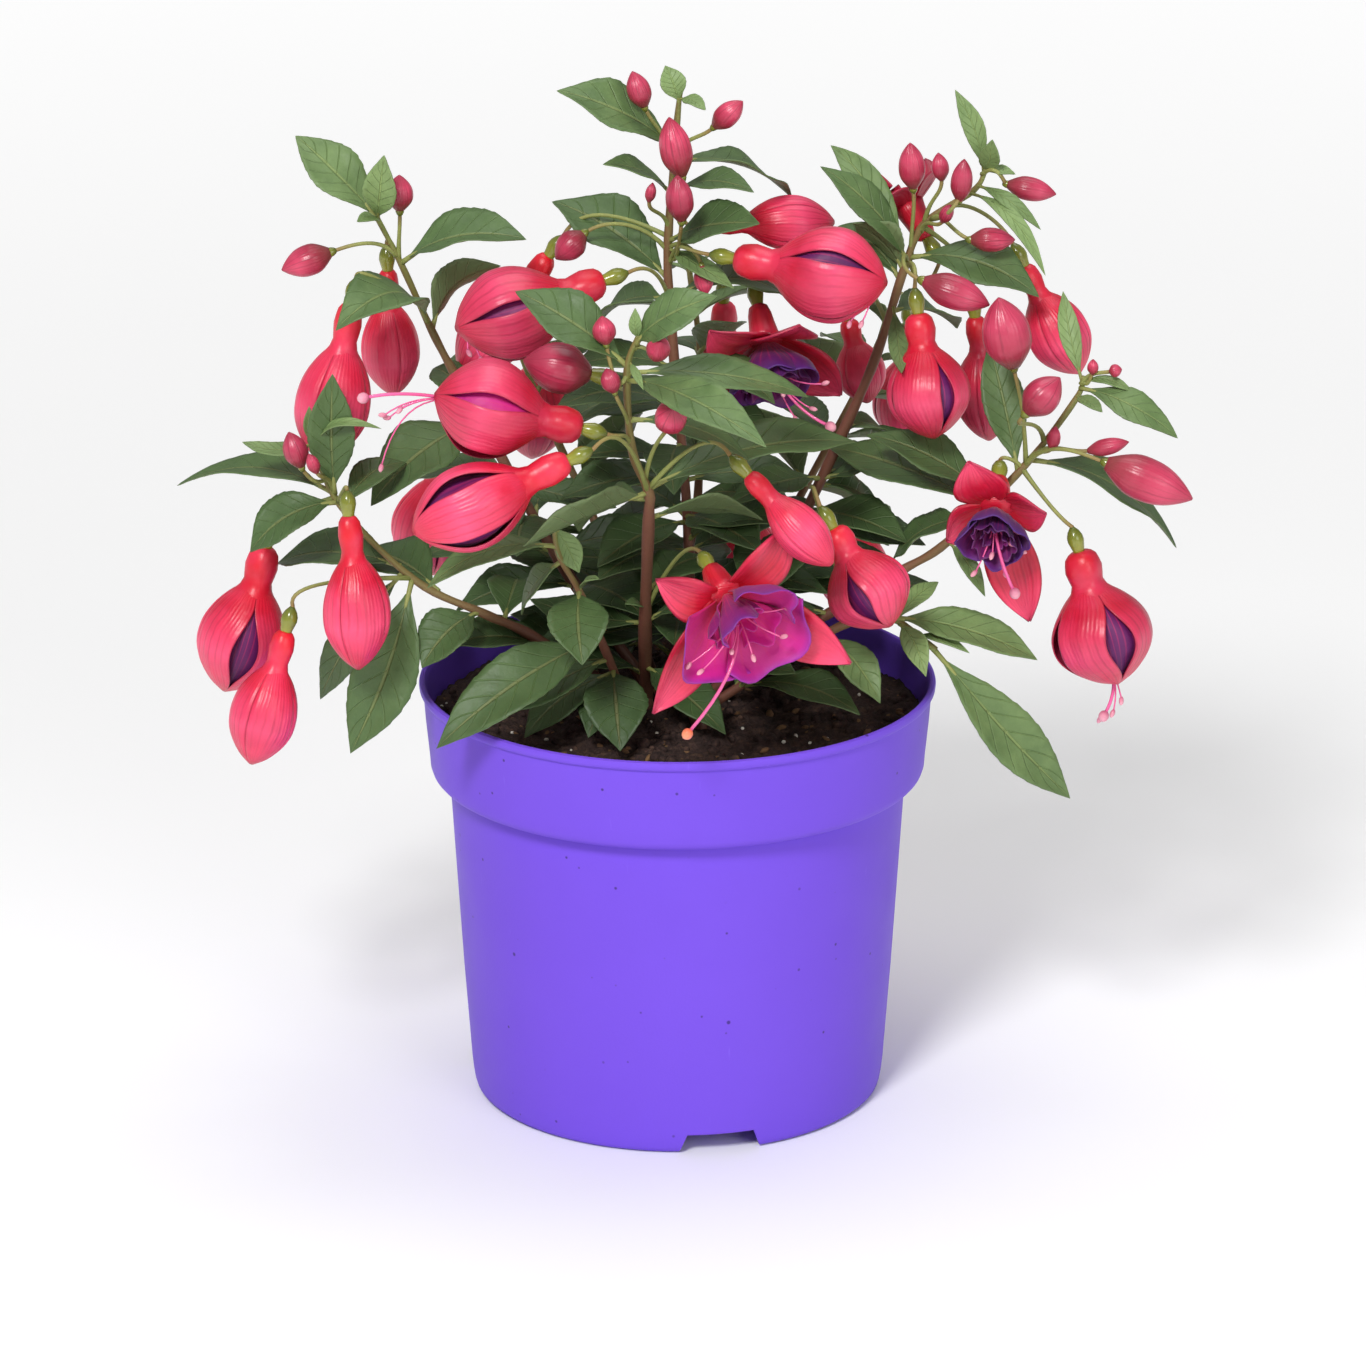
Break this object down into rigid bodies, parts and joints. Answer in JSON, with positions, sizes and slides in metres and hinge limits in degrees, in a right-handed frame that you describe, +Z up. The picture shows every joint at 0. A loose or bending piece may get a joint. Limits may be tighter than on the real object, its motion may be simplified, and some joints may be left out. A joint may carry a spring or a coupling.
{
  "type": "potted fuchsia plant",
  "caption": "Bushy fuchsia in flower in a round plastic grow pot: leafy shoots with pendent red blooms, violet petals and slim buds.",
  "frame": {"origin": "centre of the plant's and pot's box in plan, on the surface the pot stands on", "axes": "+Z up along the pot's axis, -Y towards the front view, +X to the viewer's right"},
  "size_m": [0.251, 0.175, 0.263],
  "materials": {
    "pot": "smooth violet plastic with a soft sheen",
    "soil": "dark crumbly peat",
    "foliage": "matt green leaves on olive and reddish stems",
    "sepals": "waxy crimson to pink, ribbed lengthwise",
    "corolla": "soft violet to magenta petals",
    "buds": "dull crimson"
  },
  "bodies": {
    "root": {"bud_a_round": "buds", "bud_b_front": "buds", "bud_b_front_low": "buds", "bud_b_upper_right": "buds", "bud_c_front": "buds", "bud_c_right": "buds", "bud_c_up": "buds", "bud_d_facing": "buds", "bud_d_right": "buds", "bud_d_top": "buds", "bud_e_left": "buds", "bud_e_up": "buds", "bud_f_up": "buds", "corolla_dark_centre": "corolla", "corolla_front_open": "corolla", "corolla_right_open": "corolla", "flower_crown_front": "sepals", "flower_crown_rear": "sepals", "flower_dark_centre": "sepals", "flower_front_left_bud": "sepals", "flower_front_left_lower": "sepals", "flower_front_left_upper": "sepals", "flower_front_open": "sepals", "flower_front_right": "sepals", "flower_front_right_bud": "sepals", "flower_left_narrow": "sepals", "flower_left_top": "sepals", "flower_left_top_rear": "sepals", "flower_left_wide": "sepals", "flower_low_left": "sepals", "flower_low_left_front": "sepals", "flower_outer_left": "sepals", "flower_rear_left_high": "sepals", "flower_rear_left_low": "sepals", "flower_rear_mid_high": "sepals", "flower_rear_mid_low": "sepals", "flower_rear_right_high": "sepals", "flower_rear_right_low": "sepals", "flower_right_deep": "sepals", "flower_right_inner": "sepals", "flower_right_open": "sepals", "flower_right_outer": "sepals", "flower_right_rear": "sepals", "flower_right_top": "sepals", "flower_right_top_open": "sepals", "pot": "pot", "potting_soil": "soil", "shoot_crown": "foliage", "shoot_front": "foliage", "shoot_front_side": "foliage", "shoot_left_low": "foliage", "shoot_left_top": "foliage", "shoot_rear_left": "foliage", "shoot_rear_mid": "foliage", "shoot_rear_right": "foliage", "shoot_right": "foliage", "shoot_right_low": "foliage", "shoot_right_top": "foliage"}
  },
  "joints": []
}
